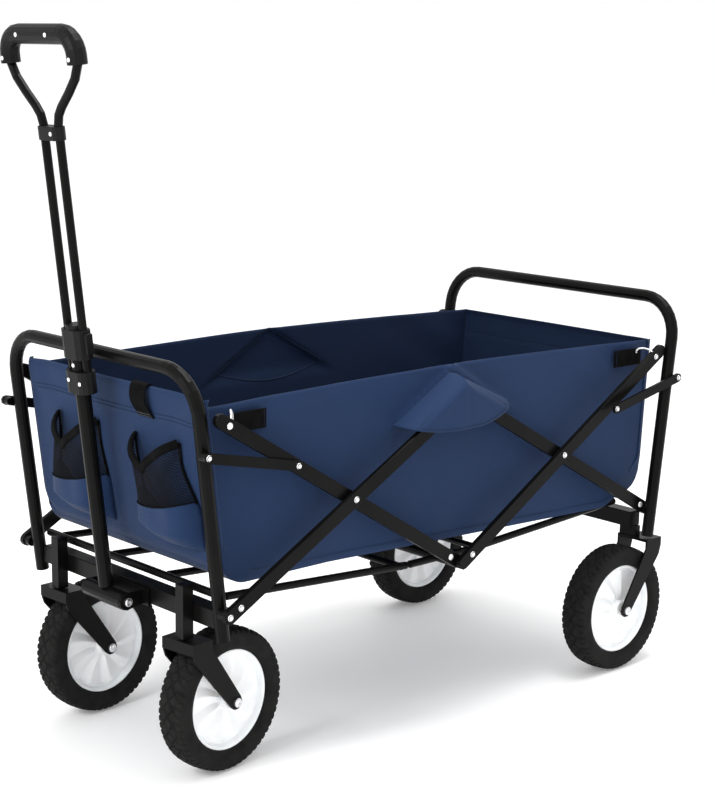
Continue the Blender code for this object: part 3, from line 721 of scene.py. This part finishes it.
def pockets():
    """Two cup pockets: a cloth foot, a net above it, a bound V-shaped mouth and a black sheet behind the net,
    painted shade inside the pocket.
    """
    for side, word in ((1, "left"), (-1, "right")):
        def cup_point(u, v):
            spread = 2 * u - 1
            low, high = foot_edge(spread), seam_edge(spread) + 0.002
            lip = 0.0012 * smooth(v, 0.93, 1.0)
            return pocket_point(side, spread, low + (high - low) * v) + Vector((lip, 0, 0))

        # A black sheet just behind the net: painted shade for the inside of the pocket.
        def shade_sheet_point(u, v):
            spread = -0.98 + 1.25 * u
            high = 0.030 * (1 - abs(2 * u - 1.1) ** 1.2) * v
            place = pocket_point(side, spread, seam_edge(spread) + max(high, 0.0))
            return place - Vector((0.0016, 0, 0))

        cup = add("pocket_cup_" + word, grid(cup_point, 50, 26), Looks.navy, 60)
        thicken(cup, THIN_CLOTH)
        data = bmesh.new()
        for turn in (1, -1):
            pocket_net(data, side, turn)
        net = add("pocket_net_" + word, data, Looks.net, 70)
        shade_sheet = add("pocket_painted_shade_" + word, grid(shade_sheet_point, 24, 8), Looks.webbing, 60)
        thicken(shade_sheet, SHADE_SHEET_CLOTH)
        mouth, wide = [], []
        spreads = [-0.97 + 1.94 * step / 60 for step in range(61)]
        for spread in spreads:
            mouth.append(pocket_point(side, spread, pocket_edge(spread)) + Vector((0.0010, 0, 0)))
        for index in range(61):
            along = mouth[min(index + 1, 60)] - mouth[max(index - 1, 0)]
            wide.append(along.cross(Vector((1, 0, 0))))
        binding = strap("pocket_binding_" + word, mouth, BINDING_WIDTH, BINDING_THICK, wide, Looks.webbing)
        sides = bmesh.new()
        for spread in (-0.985, 0.985):
            low, high = seam_edge(spread), pocket_edge(spread)
            path = [pocket_point(side, spread, low + (high - low) * k / 12) + Vector((0.0010, 0, 0))
                    for k in range(13)]
            tube(sides, path, 0.0024, 6, 0.7)
        path = [pocket_point(side, s, seam_edge(s) + 0.003) + Vector((0.0012, 0, 0))
                for s in (-0.98 + 1.96 * k / 40 for k in range(41))]
        tube(sides, path, 0.0010, 6)
        piping = add("pocket_piping_" + word, sides, Looks.webbing, 70)
        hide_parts("cup_pocket_" + word)
        attach("front_chassis", "navy_fabric", cup)
        attach("front_chassis", "pocket_mesh", net, binding, piping, shade_sheet)


# ---- webbing --------------------------------------------------------------------------------------
LOOP_Y, LOOP_WIDTH, TAB_WIDTH, WEBBING_THICK = 0.0745, 0.034, 0.0265, 0.0018
WEBBING_STITCH = (0.0036, 0.0005)        # pitch and size
WIRE_R = 0.0014


def rim_loops():
    """Two broad webbing loops sewn over the front panel's rim."""
    for side, word in ((1, "left"), (-1, "right")):
        y = side * LOOP_Y
        top = PANEL_HIGH.z - 0.0050
        path = []
        for out, up in ((-0.0085, -0.022), (-0.0080, -0.006), (-0.0058, 0.0022), (-0.0010, 0.0042),
                        (0.0050, 0.0010)):
            path.append(Vector((MID_X + end_x(top) + out, y, top + up)))
        for step in range(1, 13):
            share = step / 12
            z = top + 0.001 - 0.042 * share
            bow = 0.0050 + 0.0062 * math.sin(math.pi * share) - 0.0020 * share
            path.append(Vector((MID_X + end_x(z) + bow, y + 0.010 * share * share, z)))
        loop = strap("rim_loop_" + word, path, LOOP_WIDTH, WEBBING_THICK, Vector((0, 1, 0)), Looks.webbing)
        rows = [[foot + Vector((0.0012, -0.0155, 0.0012)), foot + Vector((0.0012, 0.0155, 0.0012))]
                for foot in path[-2:]]
        seam = stitches("rim_loop_stitches_" + word, rows, Vector((1, 0, 0)), *WEBBING_STITCH,
                        Looks.pale_thread)
        attach("front_chassis", "pocket_mesh", loop, seam)


# The wire hook's curve: mm along the bar, share of the way to the wall, mm up.
HOOK_SHAPE = ((2.0, 0.20, 5.5), (5.0, 0.55, 8.0), (9.5, 0.85, 6.0), (12.5, 1.0, -1.0), (11.5, 1.0, -7.0))


def corner_straps():
    """Short webbing tabs at the rim's corners, and the wire hooks on the bar ends that hold them."""
    centre = joint_at["fold"]
    for end, end_word, body in ((1, "front", "front_inner_bar_"), (-1, "rear", "rear_outer_bar_")):
        for side, word in ((1, "left"), (-1, "right")):
            crossing = joint_at[f"{end_word}_cross_pivot_{word}"]
            along = crossing - centre
            along.y = 0
            rivet = centre + along * 2 - along.normalized() * 0.003
            low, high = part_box(body + word)
            bar_y = side * (abs(low.y) + abs(high.y)) / 2
            first, last = (0.343, 0.404) if end > 0 else (0.361, 0.422)
            y = side * (HALF_Y + 0.0052)
            z = RIM_Z - 0.0275
            path = []
            for share in (k / 8 for k in range(9)):
                x = MID_X + end * (first + (last - first) * share)
                path.append(Vector((x, y + side * 0.002 * share ** 2, z)))
            tail = f"{end_word}_{word}"
            tab = strap("corner_tab_" + tail, path, TAB_WIDTH, WEBBING_THICK, Vector((0, 0, 1)),
                        Looks.webbing)
            row_x, row_y = MID_X + end * (first + 0.004), y + side * 0.0012
            row = [[Vector((row_x, row_y, z - 0.011)), Vector((row_x, row_y, z + 0.011))]]
            seam = stitches("corner_tab_stitches_" + tail, row, Vector((0, side, 0)), *WEBBING_STITCH)
            attach_to_walls("pocket_mesh", tab, seam)
            up = Vector((-end * 0.521, 0, 0.853))     # square to the bar
            base = Vector((rivet.x, bar_y, rivet.z)) + up * 0.0085
            inner = side * (HALF_Y + 0.0090)
            size = 1.25 if end > 0 else 0.55
            across = inner - bar_y
            points = [base - up * 0.004, base]
            for run, share, rise in HOOK_SHAPE:
                points.append(base + Vector((-end * run * size / 1000, across * share, rise * size / 1000)))
            data = bmesh.new()
            tube(data, curve_through(points, 5), WIRE_R, 8)
            hook = add("wire_hook_" + tail, data, Looks.rivet, 70)
            attach(body + word, "bright_steel", hook)


def curve_through(points, steps):
    """Points along a smooth curve through the given ones."""
    path = []
    for index in range(len(points) - 1):
        before = points[max(index - 1, 0)]
        start, end = points[index], points[index + 1]
        after = points[min(index + 2, len(points) - 1)]
        for step in range(steps):
            t = step / steps
            square = 2 * before - 5 * start + 4 * end - after
            cube = 3 * start - before - 3 * end + after
            path.append(0.5 * ((2 * start) + (end - before) * t + square * t * t + cube * t * t * t))
    path.append(points[-1])
    return path


# ---- wheels ---------------------------------------------------------------------------------------
HUB_R = 0.070
HUB_BLADES = 9
TREAD_BLOCKS, TREAD_CUT = 58, 0.0021
# Half of the tyre's section, from the bead to the crown: radius, offset from the middle.
TYRE_SECTION = ((0.0703, -0.0165), (0.0722, -0.0195), (0.0780, -0.0222), (0.0870, -0.0226),
                (0.0930, -0.0220), (0.0965, -0.0205), (0.0985, -0.0170), (0.0995, -0.0090), (0.1000, 0.0))


def tyre_ring(count):
    """The tyre's section as evenly spread (radius, offset) pairs, bead to bead over the tread."""
    half = [Vector((r, y, 0)) for r, y in TYRE_SECTION]
    whole = half + [Vector((point.x, -point.y, 0)) for point in reversed(half[:-1])]
    fine = curve_through(whole, 8)
    lengths = [0.0]
    for first, second in zip(fine, fine[1:]):
        lengths.append(lengths[-1] + (second - first).length)
    ring, index = [], 0
    for step in range(count + 1):
        wanted = lengths[-1] * step / count
        while index < len(lengths) - 2 and lengths[index + 1] < wanted:
            index += 1
        share = (wanted - lengths[index]) / (lengths[index + 1] - lengths[index])
        ring.append(fine[index].lerp(fine[index + 1], min(max(share, 0), 1)))
    return ring


def tread_depth(turn, y, radius):
    """How far the tread is cut in at an angle share and an offset across the tyre."""
    near_crown = smooth(radius, 0.0925, 0.0955)
    if near_crown == 0:
        return 0.0
    place = turn * TREAD_BLOCKS
    if abs(y) < 0.0125:
        first = abs((place * 0.5 + y * 60.0) % 1.0 - 0.5)
        second = abs((place * 0.5 - y * 60.0) % 1.0 - 0.5)
        groove = max(smooth(first, 0.39, 0.45), smooth(second, 0.39, 0.45))
    else:
        shift = 0.5 if y > 0 else 0.0
        lug = abs((place + shift + abs(y) * 14.0) % 1.0 - 0.5)
        groove = smooth(lug, 0.30, 0.36)
        groove = max(groove, 1 - smooth(abs(y), 0.0125, 0.0145))
    return TREAD_CUT * groove * near_crown


def set_on_axle(thing, spin):
    """Moves a wheel built at the origin to its joint, with its axle along the joint's axis."""
    axis = joint_axis[spin]
    if axis.y < 0:
        axis = -axis
    turn = Matrix.Rotation(math.atan2(-axis.x, axis.y), 4, 'Z')
    thing.data.transform(Matrix.Translation(joint_at[spin]) @ turn)


def tyre(name, look):
    """A closed ring with the tread cut into it, built at the origin with its axle along Y."""
    ring = tyre_ring(44)
    around = 464

    def point(u, v):
        section = ring[round(v * (len(ring) - 1))]
        radius = section.x - tread_depth(u, section.y, section.x)
        angle = 2 * math.pi * u
        return Vector((radius * math.cos(angle), section.y, radius * math.sin(angle)))

    data = grid(point, around, len(ring) - 1, closed=True)
    first = list(data.verts)
    rows = len(ring)
    for index in range(around):
        after = (index + 1) % around
        data.faces.new((first[index * rows + rows - 1], first[after * rows + rows - 1],
                        first[after * rows], first[index * rows]))
    return add(name, data, look, 32)


def hub_face(radius, turn):
    """Depth of the hub's face: a fan of slanting blades between the boss and the rim."""
    share = (turn * HUB_BLADES + 0.9 * (radius - 0.02) / 0.05 * 0.35) % 1.0
    fan = smooth(radius, 0.014, 0.024) * (1 - smooth(radius, 0.0605, 0.0640))
    saw = share / 0.62 if share < 0.62 else (1 - share) / 0.38
    dish = 0.0115 - 0.0035 * smooth(radius, 0.020, 0.060)
    return dish + 0.0062 * (saw - 0.5) * fan


def hub(name, look):
    """A hub disc with a boss, a fan of blades and a rim on both faces."""
    around = 216
    rings = []
    for radius in (0.0047, 0.0105, 0.0125):
        rings.append((radius, lambda turn, r=radius: 0.0195 if r < 0.012 else 0.0180))
    for radius in (0.0135, 0.0170, 0.0230, 0.0300, 0.0370, 0.0440, 0.0510, 0.0570, 0.0605, 0.0625, 0.0645):
        rings.append((radius, lambda turn, r=radius: hub_face(r, turn)))
    for radius, depth in ((0.0655, 0.0135), (0.0664, 0.0158), (0.0680, 0.0168), (HUB_R - 0.0002, 0.0162)):
        rings.append((radius, lambda turn, d=depth: d))
    whole = [(radius, depth, 1) for radius, depth in rings]
    whole += [(radius, depth, -1) for radius, depth in reversed(rings)]
    data = bmesh.new()
    rows = []
    for step in range(around):
        turn = step / around
        angle = 2 * math.pi * turn
        rows.append([data.verts.new((radius * math.cos(angle), sign * depth(turn), radius * math.sin(angle)))
                     for radius, depth, sign in whole])
    for step in range(around):
        near, far = rows[step], rows[(step + 1) % around]
        for index in range(len(whole)):
            after = (index + 1) % len(whole)
            data.faces.new((near[index], near[after], far[after], far[index]))
    return add(name, data, look, 24)


def wheels():
    """A treaded tyre and a fan hub on each wheel body."""
    for end in ("front", "rear"):
        for word in ("left", "right"):
            tail = f"{end}_{word}"
            tread = tyre("tread_" + tail, Looks.rubber)
            disc = hub("fan_hub_" + tail, Looks.hub)
            for piece, node, name in ((tread, "tyre_", "tyre_rubber"), (disc, "hub_", "hub_plastic")):
                set_on_axle(piece, f"{end}_wheel_spin_{word}")
                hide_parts(node + tail)
                attach(f"{end}_wheel_{word}", name, piece)


# ---- rivets and screws ----------------------------------------------------------------------------
def dome(name, place, out, radius, height, body, look=Looks.rivet, socket=False):
    """A domed rivet or screw head standing on a face; socket cuts a small recess in its middle."""
    out = Vector(out).normalized()
    side = out.orthogonal().normalized()
    top = out.cross(side)
    profile = [(1.0, 0.0), (1.0, 0.35), (0.90, 0.70), (0.66, 0.92), (0.42, 1.0)]
    if socket:
        profile += [(0.38, 0.45), (0.0, 0.45)]
    else:
        profile += [(0.0, 1.04)]
    data = bmesh.new()
    sides = 20
    rings = []
    for share, up in profile:
        if share == 0:
            rings.append([data.verts.new(place + out * height * up)] * sides)
            continue
        rings.append([data.verts.new(place + out * height * up + radius * share
                                     * (math.cos(a) * side + math.sin(a) * top))
                      for a in (2 * math.pi * step / sides for step in range(sides))])
    for first, second in zip(rings, rings[1:]):
        for step in range(sides):
            after = (step + 1) % sides
            corners = [first[step], first[after], second[after], second[step]]
            data.faces.new(list(dict.fromkeys(corners)))
    data.faces.new(rings[0])
    head = add(name, data, look, 40)
    attach(body, "bright_steel", head)


def bar_rivets():
    """Bright heads over the CAD's rivets on the bars and struts."""
    rise, radius, height = 0.0015, 0.0046, 0.0019
    centre = joint_at["fold"]
    for word, side in (("left", 1), ("right", -1)):
        for end, sign in (("front", 1), ("rear", -1)):
            foot = joint_at[end + "_foot_pivot"]
            cross = joint_at[f"{end}_cross_pivot_{word}"]
            lifting = f"{end}_inner_bar_{word}" if end == "front" else f"{end}_outer_bar_{word}"
            standing = f"{end}_outer_bar_{word}" if end == "front" else f"{end}_inner_bar_{word}"
            rows = [(lifting, centre + (cross - centre).normalized() * 0.020),
                    (lifting, centre + (cross - centre) * 2 - (cross - centre).normalized() * 0.003),
                    (standing, foot + (cross - foot).normalized() * 0.020)]
            if end == "front":
                rows += [(standing, foot), (standing, cross)]
            else:
                rows += [(lifting, cross)]
            for index, (body, place) in enumerate(rows):
                low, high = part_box(body)
                face = (high.y if side > 0 else -low.y) - rise
                spot = Vector((place.x, side * (face - 0.0002), place.z))
                dome(f"rivet_{body}_{index}", spot, (0, side, 0), radius, height, body)
            strut = f"{end}_strut_{word}"
            low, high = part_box(strut)
            face = (high.y if side > 0 else -low.y) - rise
            leg = joint_at[f"{end}_strut_pivot_{word}"]
            inner_x = (low.x if sign > 0 else high.x) + sign * 0.007
            inner_z = (low.z + 0.007) if low.z < leg.z - 0.01 else leg.z
            for index, (x, z) in enumerate(((leg.x, leg.z), (inner_x, inner_z))):
                spot = Vector((x, side * (face - 0.0002), z))
                dome(f"rivet_{strut}_{index}", spot, (0, side, 0), radius * 0.95, height, strut)


def axle_heads():
    """Socket heads on the axle bolts and the handle's pivot bolt."""
    low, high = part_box("axle_bolt_rear_left")
    half = (high.y - low.y) / 2 - 0.0010
    for end in ("front", "rear"):
        for word in ("left", "right"):
            body = f"caster_{word}" if end == "front" else "rear_chassis"
            spin = f"{end}_wheel_spin_{word}"
            for sign, tail in ((1, "a"), (-1, "b")):
                axis = joint_axis[spin] * sign
                dome(f"axle_head_{end}_{word}_{tail}", joint_at[spin] + axis * half, axis, 0.0058, 0.0022,
                     body, Looks.zinc, socket=True)
    low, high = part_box("handle_pivot_bolt")
    for y, sign in ((high.y, 1), (low.y, -1)):
        spot = Vector(((low.x + high.x) / 2, y - sign * 0.0010, (low.z + high.z) / 2))
        dome(f"pivot_head_{'left' if sign > 0 else 'right'}", spot, (0, sign, 0), 0.0056, 0.0022,
             "front_chassis", Looks.zinc, socket=True)


# ---- handle ---------------------------------------------------------------------------------------
HANDLE_LEAN = math.radians(6.8)
HANDLE_RUN = Vector((math.sin(HANDLE_LEAN), 0, math.cos(HANDLE_LEAN)))
HANDLE_FACE = Vector((math.cos(HANDLE_LEAN), 0, -math.sin(HANDLE_LEAN)))


def handle_point(forward, y, along):
    """A point in the handle's own frame: forward of it, across and along it."""
    pivot = joint_at["handle_tilt"]
    return Vector((pivot.x, 0, pivot.z)) + HANDLE_RUN * along + HANDLE_FACE * forward + Vector((0, y, 0))


def handle_trim():
    """Screw and rivet heads on the handle: name, forward, across, along, body."""
    spots = [("grip_screw_left", 0.0122, 0.030, 0.7600, "handle_upper"),
             ("grip_screw_right", 0.0122, -0.038, 0.7600, "handle_upper"),
             ("grip_screw_low_left", 0.0122, 0.0770, 0.7300, "handle_upper"),
             ("grip_screw_low_right", 0.0122, -0.0770, 0.7300, "handle_upper"),
             ("clamp_rivet", 0.0086, 0.0100, 0.6350, "handle_upper"),
             ("collar_rivet_left", 0.0126, 0.0140, 0.3050, "handle_upper"),
             ("collar_rivet_right", 0.0128, -0.0110, 0.3080, "handle_upper"),
             ("tube_rivet", 0.0100, 0.0, 0.3285, "handle_lower")]
    for name, forward, y, along, body in spots:
        dome(name, handle_point(forward, y, along), HANDLE_FACE, 0.0030, 0.0016, body)


# ---- CAD nodes that stay --------------------------------------------------------------------------
STEEL_BEVEL, PLASTIC_BEVEL = 0.0011, 0.0009
PLASTIC_NODES = ("handle_grip", "handle_collar", "handle_clamp", "handle_lock_block", "handle_lock_lever")
ROUND_NODES = ("handle_grip", "handle_loop", "front_hoop", "rear_hoop")    # no edges to round


def finish_nodes():
    """Materials for the CAD nodes that show, and rounded edges on them."""
    for name, thing in nodes.items():
        if thing.hide_render:
            continue
        if name.startswith("axle_bolt") or name == "handle_pivot_bolt":
            look, width = Looks.zinc, 0.0
        elif name in PLASTIC_NODES:
            look, width = Looks.plastic, PLASTIC_BEVEL
        else:
            look, width = Looks.steel, STEEL_BEVEL
        thing.data.materials.clear()
        thing.data.materials.append(look)
        if not width or name in ROUND_NODES:
            continue
        weld = thing.modifiers.new("weld", 'WELD')
        weld.merge_threshold = 0.00002
        edge = thing.modifiers.new("edge", 'BEVEL')
        edge.width = width
        edge.segments = 2
        edge.limit_method = 'ANGLE'
        edge.angle_limit = math.radians(50)
        edge.use_clamp_overlap = True
        edge.harden_normals = False


# ---- stage ----------------------------------------------------------------------------------------
def stage():
    """A pale floor, a white world and two soft lights; colours are shown as they are."""
    bpy.context.scene.view_settings.view_transform = 'Standard'
    data = bmesh.new()
    bmesh.ops.create_grid(data, x_segments=1, y_segments=1, size=30.0)
    finish = Finish("studio_floor", (0.95, 0.95, 0.95), 0.60, Emission_Strength=0.15,
                    Emission_Color=(1.0, 1.0, 1.0, 1.0))
    cloud = finish.noise(0.8, 2.0)
    finish.cloudy(cloud, [(0.3, (0.945, 0.945, 0.945)), (0.7, (0.955, 0.955, 0.955))])
    floor = add("studio_floor", data, finish.material)
    floor.location.z = -0.0004
    world = bpy.data.worlds.new("studio")
    world.use_nodes = True
    world.node_tree.nodes["Background"].inputs["Color"].default_value = (1, 1, 1, 1)
    world.node_tree.nodes["Background"].inputs["Strength"].default_value = 1.0
    bpy.context.scene.world = world
    lights = (("key", (2.4, 0.3, 1.7), 0.9, 32.0), ("top", (-0.3, 0.3, 2.8), 1.2, 42.0))
    for name, place, size, power in lights:
        lamp = bpy.data.lights.new(name, 'AREA')
        lamp.shape = 'SQUARE'
        lamp.size = size
        lamp.energy = power
        thing = bpy.data.objects.new(name, lamp)
        bpy.context.scene.collection.objects.link(thing)
        thing.location = place
        thing.rotation_euler = (Vector((0, 0, 0.3)) - Vector(place)).to_track_quat('-Z', 'Y').to_euler()


camera()
stage()
basket_shell()
end_panels()
flaps()
pockets()
rim_loops()
corner_straps()
wheels()
bar_rivets()
axle_heads()
handle_trim()
finish_nodes()
